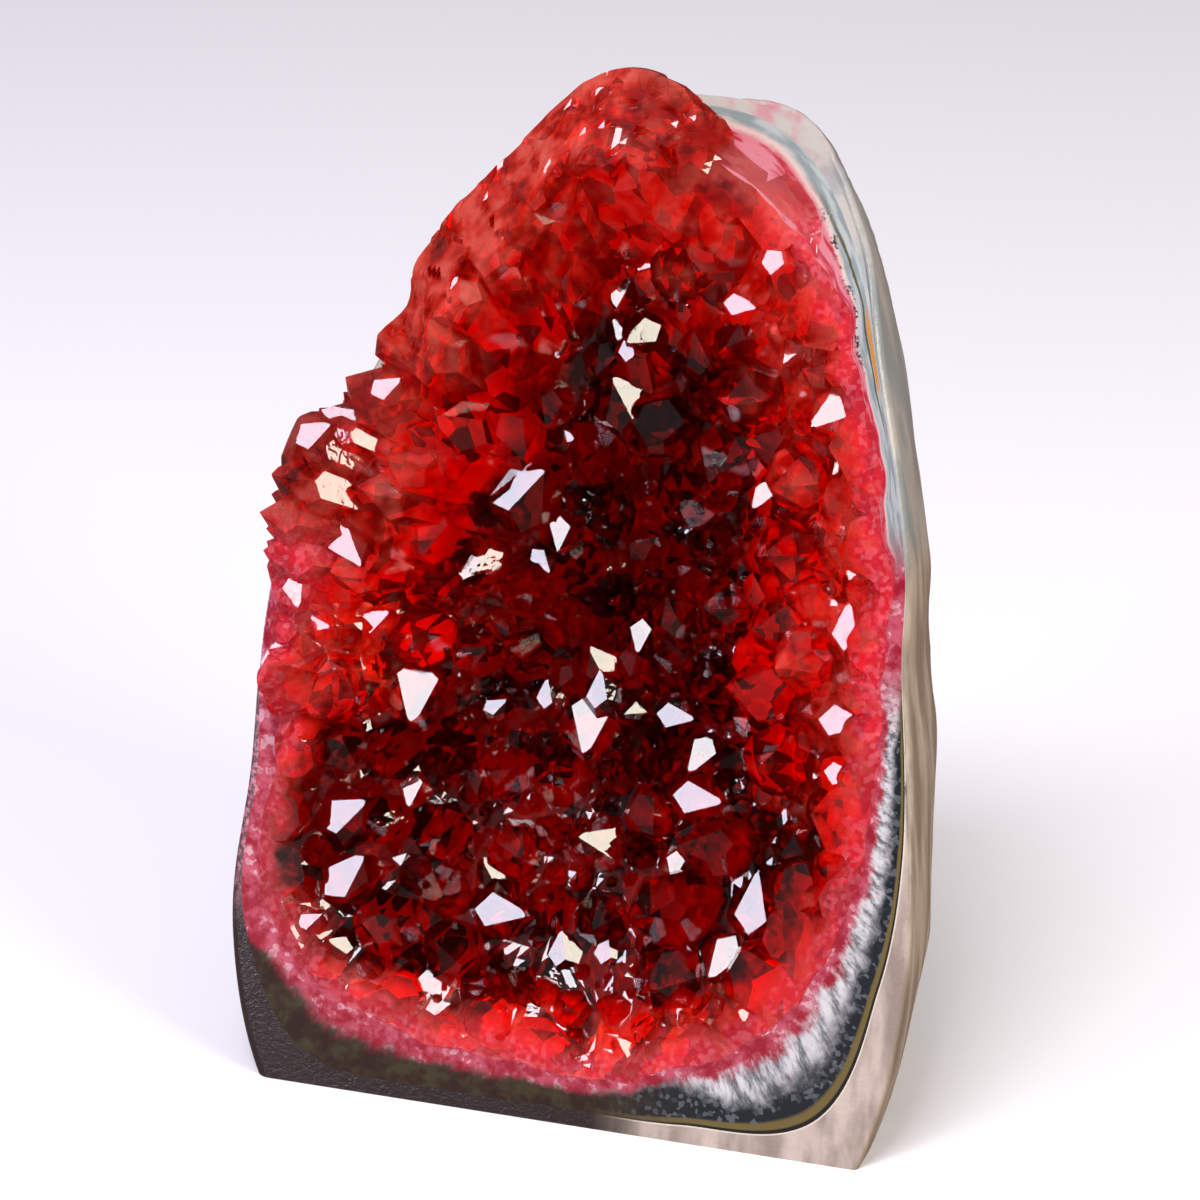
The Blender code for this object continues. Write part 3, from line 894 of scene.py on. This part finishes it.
modifier = tips.modifiers.new("druse", "NODES")
modifier.node_group = druse_tree()
for name, value in (("Tray", tray), ("Crust", crust), ("Room", room), ("Finish", quartz), ("Size", 1.0)):
    set_input(modifier, name, value)
graph = bpy.context.evaluated_depsgraph_get()
druse = new_piece("crystal_druse", bpy.data.meshes.new_from_object(tips.evaluated_get(graph)))
with opened(druse.data) as work:
    bodies = bodies_of(work)
    print("druse:", len(work.faces), "faces,", len(bodies), "bodies, open edges:",
          sum(1 for e in work.edges if not e.is_manifold))
    for body in bodies[:-1]:
        bmesh.ops.delete(work, geom=body, context="VERTS")
for thing in [tips, room, crust, *tray.objects]:
    bpy.data.objects.remove(thing)
bpy.data.collections.remove(tray)


# %% How far each corner lies inside the rim
def inside_rim(point):
    """How far a place lies inside the edge of the crystals' bed, in millimetres."""
    ray = to_face @ point - HOLLOW
    turn = math.atan2(ray.y, ray.x) / (2 * math.pi)
    return (bed_rim[round(turn * AROUND) % AROUND] - math.hypot(ray.x, ray.y)) / MM


insides = [inside_rim(vertex.co) for vertex in druse.data.vertices]
put_values(druse.data, "inside", insides)
print("corners within 5 mm of the rim:", sum(inside < 5 for inside in insides))

# %% [markdown]
# ## Writing materials as sums
# A material is a small net of nodes. Written as plain sums it is far easier to read, so
# one class wraps a socket: adding or multiplying two of them adds a Math node. Anything
# else, such as noise, comes from its one method, node.
# %% The class that wraps a socket
class Wire:
    """A value in a material's tree."""

    def __init__(self, tree, socket=None):
        self.tree = tree
        self.socket = socket

    def node(self, kind, settings=None, inputs=None, output=0):
        """Add any node: its settings, then its sockets' values or wires. Returns one output."""
        node = self.tree.nodes.new(kind)
        for name, value in (settings or {}).items():
            setattr(node, name, value)
        for name, value in (inputs or {}).items():
            if isinstance(value, Wire):
                self.tree.links.new(value.socket, node.inputs[name])
            else:
                node.inputs[name].default_value = value
        return Wire(self.tree, node.outputs[output])

    def math(self, operation, other=0.0, flipped=False):
        pair = {0: other, 1: self} if flipped else {0: self, 1: other}
        return self.node("ShaderNodeMath", {"operation": operation}, pair)

    def __add__(self, other):
        return self.math("ADD", other)

    def __sub__(self, other):
        return self.math("SUBTRACT", other)

    def __rsub__(self, other):
        return self.math("SUBTRACT", other, flipped=True)

    def __mul__(self, other):
        return self.math("MULTIPLY", other)

    __radd__ = __add__
    __rmul__ = __mul__


def rise(value, low, high):
    """0 below low, 1 above high, and smooth between."""
    return value.node("ShaderNodeMapRange", {"interpolation_type": "SMOOTHSTEP"}, {
        "Value": value, "From Min": low, "From Max": high})


def mixed(mask, first, second):
    """The first colour where the mask is 0, the second where it is 1."""
    def full(colour):
        return (*colour, 1) if isinstance(colour, tuple) else colour
    return mask.node("ShaderNodeMix", {"data_type": "RGBA"}, {
        0: mask, 6: full(first), 7: full(second)}, output=2)


def graded(value, low, high, first, second):
    """The first colour up to low, the second from high, and a smooth mix between."""
    return mixed(rise(value, low, high), first, second)


def cloudy(place, size, detail=3.0, roughness=0.55, output=0):
    """Noise of a size in metres, from 0 to 1 about 0.5."""
    return place.node("ShaderNodeTexNoise", {}, {
        "Vector": place, "Scale": 1 / size, "Detail": detail, "Roughness": roughness}, output)


def cells(place, size, feature="F1", output=0):
    return place.node("ShaderNodeTexVoronoi", {"feature": feature}, {
        "Vector": place, "Scale": 1 / size}, output)


def split(vector):
    """The three numbers of a place."""
    return [vector.node("ShaderNodeSeparateXYZ", {}, {0: vector}, k) for k in range(3)]


def riding(place, name):
    """A value that rides on the points of the mesh."""
    return place.node("ShaderNodeAttribute", {"attribute_name": name}, output="Fac")


def stretched(place, scale):
    return place.node("ShaderNodeMapping", {}, {"Vector": place, "Scale": scale})


def bumped(height, strength, distance):
    return height.node("ShaderNodeBump", {}, {
        "Height": height, "Strength": strength, "Distance": distance})


# %% [markdown]
# ## Places that colours read
# Object coordinates are the stone's own places, since every piece sits at the origin. A
# Mapping node turns them into face places about the hollow's centre: across, up and out.
# %% Start a material
HOLLOW_PLACE = FACE @ HOLLOW


def start_material(material):
    """An empty tree, its shader, and the place of each point on the stone and on the face."""
    material.use_nodes = True
    tree = material.node_tree
    tree.nodes.clear()
    shader = tree.nodes.new("ShaderNodeBsdfPrincipled")
    output = tree.nodes.new("ShaderNodeOutputMaterial")
    tree.links.new(shader.outputs[0], output.inputs["Surface"])
    place = Wire(tree).node("ShaderNodeTexCoord", output="Object")
    on_face = place.node("ShaderNodeMapping", {"vector_type": "TEXTURE"}, {
        "Vector": place, "Location": HOLLOW_PLACE, "Rotation": FACE.to_euler()})
    return tree, shader, output, place, on_face


def shade_depth(place, on_face):
    """Painted shade: the depth behind the face, made more than it is low down and less at the sides and the
    top, so colours read from it darken where shade falls.
    """
    across, up, out = split(on_face)
    low = rise(up * -1.0, 4 * MM, 24 * MM) * (1 - rise(up * -1.0, 33 * MM, 43 * MM))
    right = rise(across, 7 * MM, 19 * MM)
    high = rise(up, 22 * MM, 40 * MM)
    left = rise(across * -1.0, 8 * MM, 22 * MM) * rise(up, -20 * MM, -6 * MM)
    # Painted shade: random blotches and the masks above shift where the colours are darkened.
    blotches = (cloudy(place, 9 * MM, 1.0) - 0.5) * 0.014
    return out * -1.0 + blotches + low * 0.012 - right * 0.007 - high * 0.0055 - left * 0.003


def toward_direction(unit, degrees, wide, narrow):
    """A mask for the part of the rim that lies in one direction from the centre."""
    aim = (math.cos(math.radians(degrees)), math.sin(math.radians(degrees)), 0)
    dot = {"operation": "DOT_PRODUCT"}
    along = unit.node("ShaderNodeVectorMath", dot, {0: unit, 1: aim}, output="Value")
    return rise(along, math.cos(math.radians(wide)), math.cos(math.radians(narrow)))


def flat_direction(on_face):
    flat = on_face.node("ShaderNodeVectorMath", {"operation": "MULTIPLY"}, {0: on_face, 1: (1, 1, 0)})
    return flat.node("ShaderNodeVectorMath", {"operation": "NORMALIZE"}, {0: flat})


def strip_mask(on_face):
    """Where the crystals were ground off beside the apex."""
    across, up, _ = split(on_face)
    along = (SAWN_TO - SAWN_FROM).normalized()
    past_saw = (up + (HOLLOW_HEIGHT - SAWN_FROM.y)) * along.x - (across - SAWN_FROM.x) * along.y
    return rise(past_saw, 8 * MM, 12 * MM) * rise(up, 22 * MM, 30 * MM)


def feed(tree, shader, **inputs):
    """Set a shader's inputs to values or wires."""
    for name, value in inputs.items():
        socket = shader.inputs[name.replace("_", " ").title()]
        if isinstance(value, Wire):
            tree.links.new(value.socket, socket)
        else:
            socket.default_value = value


# %% [markdown]
# ## Dyed quartz
# Clear quartz bends light and mirrors a little of it. The dye soaked in and drinks green
# and blue, so thin places look orange-red and thick ones almost black. A volume does
# that truly: its colour deepens with the length of the way through. Beside the rim the
# crystals are cloudier and end in pink sugary grains. A second, milky shader, mixed in
# by place, does both.
# %% The crystals' material
QUARTZ_IOR = 1.544
DYE_COLOUR = (0.985, 0.28, 0.04)
DYE_DENSITY = 1200.0
MOST_MILKY = 0.15
STRIP_MILKY = 0.17
SUGAR_MILKY = 0.36


def finish_quartz():
    tree, shader, output, place, on_face = start_material(quartz)
    depth = shade_depth(place, on_face)
    # Painted shade: the glass's surface colour is pale where shallow and dark red in the depth.
    shaded_tint = graded(depth, 2.5 * MM, 14 * MM, (1.0, 0.76, 0.70), (0.66, 0.10, 0.08))
    etched = rise(cloudy(place, 1.2 * MM, 1.0), 0.56, 0.75)
    relief = bumped(cloudy(place, 0.7 * MM, 1.0), 0.06, 0.08 * MM)
    feed(tree, shader, base_color=shaded_tint, roughness=0.01 + etched * 0.06, normal=relief)
    shader.inputs["IOR"].default_value = QUARTZ_IOR
    shader.inputs["Transmission Weight"].default_value = 1.0
    milky = tree.nodes.new("ShaderNodeBsdfPrincipled")
    patches = cloudy(place, 2.6 * MM, 2.0)
    inside = riding(place, "inside")
    sugar = 1 - rise(inside + (patches - 0.5) * 8.0, 0.5, 5.0)
    sugar = sugar * (1 - toward_direction(flat_direction(on_face), 118, 56, 42))
    grains = cells(place, 0.5 * MM, output="Color")
    pink = graded(grains, 0.40, 0.80, (0.58, 0.020, 0.042), (0.74, 0.11, 0.145))
    milk = graded(patches, 0.42, 0.66, (0.85, 0.030, 0.010), (0.90, 0.13, 0.09))
    feed(tree, milky, base_color=mixed(sugar, milk, pink), roughness=0.2 + etched * 0.2, normal=relief)
    milky.inputs["IOR"].default_value = QUARTZ_IOR
    veil = (1 - rise(depth, -5 * MM, 1 * MM)) * rise(patches, 0.30, 0.62) * MOST_MILKY
    veil = veil + strip_mask(on_face) * rise(patches, 0.20, 0.55) * STRIP_MILKY + sugar * SUGAR_MILKY
    both = veil.node("ShaderNodeMixShader", {}, {0: veil})
    tree.links.new(shader.outputs[0], both.socket.node.inputs[1])
    tree.links.new(milky.outputs[0], both.socket.node.inputs[2])
    tree.links.new(both.socket, output.inputs["Surface"])
    dye = tree.nodes.new("ShaderNodeVolumeAbsorption")
    dye.inputs["Color"].default_value = (*DYE_COLOUR, 1)
    dye.inputs["Density"].default_value = DYE_DENSITY
    tree.links.new(dye.outputs[0], output.inputs["Volume"])


finish_quartz()

# %% [markdown]
# ## Banded agate
# On the polished face the wall goes from pink, where the dye soaked in, through white
# fibrous quartz to green-black agate and a thin brown line. How wide each band is changes
# round the rim, so masks by direction pick the mix. Under the crystals the same stone is
# the milky bed, with a material of its own: pink near the rim, with a painted glow, and painted shade, dark
# red, in the depth.
# %% The wall's material
def along_rim(unit, band, around, across):
    """A place that runs with the rim: features longer along it than across it, or the other way."""
    turned = unit.node("ShaderNodeVectorMath", {"operation": "SCALE"}, {0: unit, "Scale": around})
    lifted = band.node("ShaderNodeCombineXYZ", {}, {2: band * across})
    return unit.node("ShaderNodeVectorMath", {"operation": "ADD"}, {0: turned, 1: lifted})


def pink_quartz(place, ragged):
    """Dyed milky quartz with pale grains, partly real pale quartz and partly painted glitter."""
    grains = cells(place, 0.6 * MM, output="Color")
    colour = graded(ragged, 0.38, 0.62, (0.20, 0.008, 0.018), (0.34, 0.058, 0.09))
    # Pale grains mixed in: partly the quartz's own pale grains, partly painted glitter.
    return mixed(rise(grains, 0.60, 0.74) * rise(ragged, 0.46, 0.62), colour, (0.44, 0.22, 0.25))


def agate_bands(place, unit, band, ragged):
    """The colours of the polished face, from the crystals outwards."""
    fibres = cloudy(along_rim(unit, band, 50, 2.5), 1.0, 4.0, 0.7)
    t = band + (ragged - 0.5) * 0.55 + (fibres - 0.5) * 0.35
    lower_left = toward_direction(unit, 257, 35, 24)
    lower_right = toward_direction(unit, 317, 44, 28)
    grains = cells(place, 0.45 * MM, output="Color")
    colour = pink_quartz(place, ragged)
    grey = graded(fibres, 0.36, 0.62, (0.07, 0.08, 0.09), (0.44, 0.43, 0.44))
    colour = mixed(rise(t, 0.12, 0.34) * lower_right, colour, grey)
    brown = graded(ragged, 0.4, 0.65, (0.016, 0.008, 0.006), (0.030, 0.024, 0.010))
    blue_black = graded(grains, 0.66, 0.78, (0.007, 0.011, 0.014), (0.06, 0.07, 0.08))
    edge = 1.5 - lower_left * 1.10 - lower_right * (1 - lower_left * 0.6) * 0.92
    colour = graded(t - edge, -0.16, 0.16, colour, mixed(lower_right, brown, blue_black))
    colour = mixed(rise(band, 0.84, 0.89) * lower_right, colour, (0.10, 0.075, 0.025))
    return mixed(rise(band, 0.945, 0.965) * lower_right, colour, (0.008, 0.008, 0.008))


def shoulder_bands(place, unit, band, ragged):
    """The colours of the rolled shoulder: pink with red streaks, then cream, then blue-grey glass."""
    streaks = cloudy(along_rim(unit, band, 12, 6.0), 1.0, 3.0)
    t = band + (ragged - 0.5) * 0.16
    edge = 0.22 + toward_direction(unit, 88, 38, 12) * 0.5
    colour = graded(streaks, 0.46, 0.60, (0.38, 0.12, 0.15), (0.28, 0.014, 0.03))
    colour = graded(t - edge, -0.10, 0.02, colour, (0.42, 0.31, 0.29))
    glassy = graded(streaks, 0.40, 0.62, (0.15, 0.18, 0.19), (0.27, 0.29, 0.295))
    colour = graded(t - edge, 0.0, 0.14, colour, glassy)
    line = rise(t, 0.66, 0.70) * (1 - rise(t, 0.74, 0.80))
    colour = mixed(line * toward_direction(unit, 52, 18, 6), colour, (0.055, 0.045, 0.02))
    rust = rise(t, 0.78, 0.84) * toward_direction(unit, 48, 6, 2)
    colour = mixed(rust, colour, (0.34, 0.15, 0.035))
    spots = rise(cloudy(place, 0.9 * MM, 5.0, 0.75), 0.54, 0.60)
    near = 1 - rise((t - edge).math("ABSOLUTE"), 0.06, 0.20)
    return mixed(spots * near * toward_direction(unit, 56, 12, 5), colour, (0.03, 0.012, 0.02))


def bed_colours(place, depth, ragged):
    """Under the crystals: random cells, the bright ones a painted glow and the others dark, and all painted
    darker in the depth as painted shade.
    """
    tone_and_painted_glow = rise(cells(place, 2.8 * MM, output="Color") + (ragged - 0.5) * 0.5, 0.34, 0.66)
    shallow = mixed(tone_and_painted_glow, (0.30, 0.010, 0.010), (0.98, 0.17, 0.14))
    middle = mixed(tone_and_painted_glow, (0.14, 0.003, 0.002), (0.98, 0.13, 0.05))
    deep = mixed(tone_and_painted_glow, (0.005, 0.0003, 0.0003), (0.30, 0.009, 0.005))
    # Painted shade: the colours darken in the depth.
    colour = graded(depth, 1.5 * MM, 5.5 * MM, shallow, middle)
    return graded(depth, 6.5 * MM, 13 * MM, colour, deep)


def finish_agate():
    material = bpy.data.materials.new("banded_agate")
    tree, shader, _, place, on_face = start_material(material)
    band = riding(place, "band")
    unit = flat_direction(on_face)
    ragged = cloudy(place, 2.2 * MM, 5.0, 0.65)
    shoulder = toward_direction(unit, 64, 50, 38)
    colour = agate_bands(place, unit, band, ragged)
    colour = mixed(shoulder, colour, shoulder_bands(place, unit, band, ragged))
    facets = cells(place, 0.6 * MM)
    relief = mixed(shoulder, facets, cloudy(place, 3 * MM))
    feed(tree, shader, base_color=colour, roughness=0.10 + rise(ragged, 0.45, 0.7) * 0.12,
         normal=bumped(relief, 0.10, 0.12 * MM))
    shader.inputs["IOR"].default_value = QUARTZ_IOR
    return material


def finish_bed():
    material = bpy.data.materials.new("milky_bed")
    tree, shader, _, place, on_face = start_material(material)
    ragged = cloudy(place, 2.2 * MM, 1.0)
    # The bed's colour carries painted shade in the depth and a painted glow.
    feed(tree, shader, base_color=bed_colours(place, shade_depth(place, on_face), ragged),
         roughness=0.2 + ragged * 0.2)
    return material


wall.data.materials.append(finish_agate())
wall.data.materials.append(finish_bed())

# %% [markdown]
# ## Basalt
# The rock is tan-grey and dull, with darker pits and rusty stains. Where it was ground
# beside the face it is smooth and softly streaked, and at the lower left it is polished
# so dark that it shines. A thin pale line marks where it meets the agate.
# %% The rind's material
def finish_basalt():
    material = bpy.data.materials.new("basalt")
    tree, shader, _, place, on_face = start_material(material)
    lip = riding(place, "lip")
    out = split(on_face)[2]
    unit = flat_direction(on_face)
    lower_left = toward_direction(unit, 250, 33, 24)
    ground = 1 - rise(out * -1.0, 11 * MM, 24 * MM)
    patches = cloudy(place, 9 * MM, 4.0)
    speckle = cloudy(place, 0.7 * MM, 4.0, 0.7)
    streaks = cloudy(stretched(place, (1, 1, 0.22)), 3 * MM, 3.0)
    rough_rock = graded(patches, 0.38, 0.62, (0.11, 0.085, 0.065), (0.26, 0.22, 0.18))
    rough_rock = graded(speckle, 0.5, 0.72, rough_rock, (0.40, 0.36, 0.30))
    rough_rock = graded(cloudy(place, 0.9 * MM), 0.60, 0.72, rough_rock, (0.05, 0.04, 0.032))
    smooth_rock = graded(streaks, 0.36, 0.66, (0.19, 0.15, 0.12), (0.38, 0.315, 0.265))
    colour = mixed(ground, rough_rock, smooth_rock)
    left = toward_direction(unit, 188, 46, 32) * (1 - rise(out * -1.0, 3 * MM, 8 * MM))
    colour = mixed(left, colour, graded(speckle, 0.45, 0.6, (0.07, 0.02, 0.025), (0.36, 0.14, 0.18)))
    faded = out * -1.0 + (patches - 0.5) * 0.03
    glassy = toward_direction(unit, 66, 54, 40) * (1 - rise(faded, 9 * MM, 20 * MM))
    pale = mixed(toward_direction(unit, 90, 26, 12), (0.21, 0.23, 0.24), (0.36, 0.17, 0.19))
    colour = mixed(glassy, colour, graded(streaks, 0.40, 0.62, pale, (0.32, 0.30, 0.285)))
    white_line = (1 - rise(lip, 0.10, 0.18)) * toward_direction(unit, 312, 44, 30)
    colour = mixed(white_line, colour, (0.48, 0.43, 0.36))
    polished = lower_left * (1 - rise(out * -1.0, 6 * MM, 14 * MM))
    colour = mixed(polished, colour, (0.018, 0.012, 0.011))
    relief = cloudy(place, 0.5 * MM, 4.0, 0.7)
    feed(tree, shader, base_color=colour, roughness=0.85 - ground * 0.36 - polished * 0.33 - glassy * 0.2,
         normal=bumped(relief, 0.5, 0.12 * MM))
    return material


rind.data.materials.append(finish_basalt())

# %% [markdown]
# ## Dress the frame
# Each skin stands for its solid, hides it, and rides on the stone's one
# body. Rock and agate are shaded smooth, and crystals stay flat.
# %% Join the pieces to the frame
for piece, node, slot in (
    (rind, "basalt_rind", "basalt"),
    (wall, "agate_wall", "agate"),
    (druse, "crystal_crust", "red_quartz"),
):
    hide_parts(node)
    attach(piece, "root")
for piece in (rind, wall):
    piece.data.shade_smooth()
    piece.data.set_sharp_from_angle(angle=math.radians(50))
print("faces:", {piece.name: len(piece.data.polygons) for piece in (rind, wall, druse)})

# %% [markdown]
# ## Studio
# A pale floor, three soft panels and a pale room. The camera looks down a little from
# the right, far off with a long lens, as one photographs a stone held in the hand.
# %% Floor, light and camera
def make_floor():
    """Pale to the camera. The stone mirrors it darker and warm, as it would a wooden table."""
    mesh = bpy.data.meshes.new("floor")
    with opened(mesh) as work:
        bmesh.ops.create_grid(work, x_segments=1, y_segments=1, size=6.0)
    floor = new_piece("floor", mesh)
    material = bpy.data.materials.new("pale_floor")
    material.use_nodes = True
    tree = material.node_tree
    shader = tree.nodes["Principled BSDF"]
    seen = Wire(tree).node("ShaderNodeLightPath", output="Is Camera Ray")
    colour = mixed(seen, (0.13, 0.07, 0.06), (0.68, 0.67, 0.695))
    feed(tree, shader, base_color=colour, roughness=0.9)
    mesh.materials.append(material)


def aim_at_stone(thing, place):
    """Put a lamp or a camera in its place, looking at the stone."""
    thing.location = place
    thing.rotation_euler = (place - TARGET).to_track_quat("Z", "Y").to_euler()


def make_lamp(name, place, width, height, colour, radiance):
    light = bpy.data.lights.new(name, "AREA")
    light.shape = "RECTANGLE"
    light.size, light.size_y = width, height
    light.color = colour
    light.energy = radiance * width * height * math.pi
    lamp = new_piece(name, light)
    aim_at_stone(lamp, place)
    lamp.visible_camera = False


MIRRORED_ROOM = 0.35


def make_room_light():
    """Pale to the camera. To the stone it is brighter from above, and in a mirror it is dim."""
    world = bpy.data.worlds.new("studio")
    bpy.context.scene.world = world
    world.use_nodes = True
    tree = world.node_tree
    tree.nodes.clear()
    height = Wire(tree).node("ShaderNodeTexCoord", output="Generated")
    up = split(height)[2]
    seen = Wire(tree).node("ShaderNodeLightPath", output="Is Camera Ray")
    lit = graded(up, 0.15, 0.85, (0.05, 0.05, 0.055), (0.82, 0.80, 0.86))
    mirrored = Wire(tree).node("ShaderNodeLightPath", output="Is Glossy Ray")
    lit = mixed(mirrored * (1 - MIRRORED_ROOM), lit, (0.0, 0.0, 0.0))
    colour = mixed(seen, lit, (0.86, 0.855, 0.88))
    background = tree.nodes.new("ShaderNodeBackground")
    tree.links.new(colour.socket, background.inputs[0])
    output = tree.nodes.new("ShaderNodeOutputWorld")
    tree.links.new(background.outputs[0], output.inputs[0])


make_floor()
for (name, _, _, width, height, colour, radiance), place in zip(LAMPS, lamp_places):
    make_lamp(name, place, width, height, colour, radiance)
make_room_light()

# %% The camera
FRAME_PIXELS = 1200
FOCAL_PIXELS = 4405
view = bpy.data.cameras.new("camera")
view.sensor_width = 36
view.lens = view.sensor_width * FOCAL_PIXELS / FRAME_PIXELS
camera = new_piece("camera", view)
aim_at_stone(camera, CAMERA_PLACE)
bpy.context.scene.camera = camera
bpy.context.scene.view_settings.view_transform = "Standard"
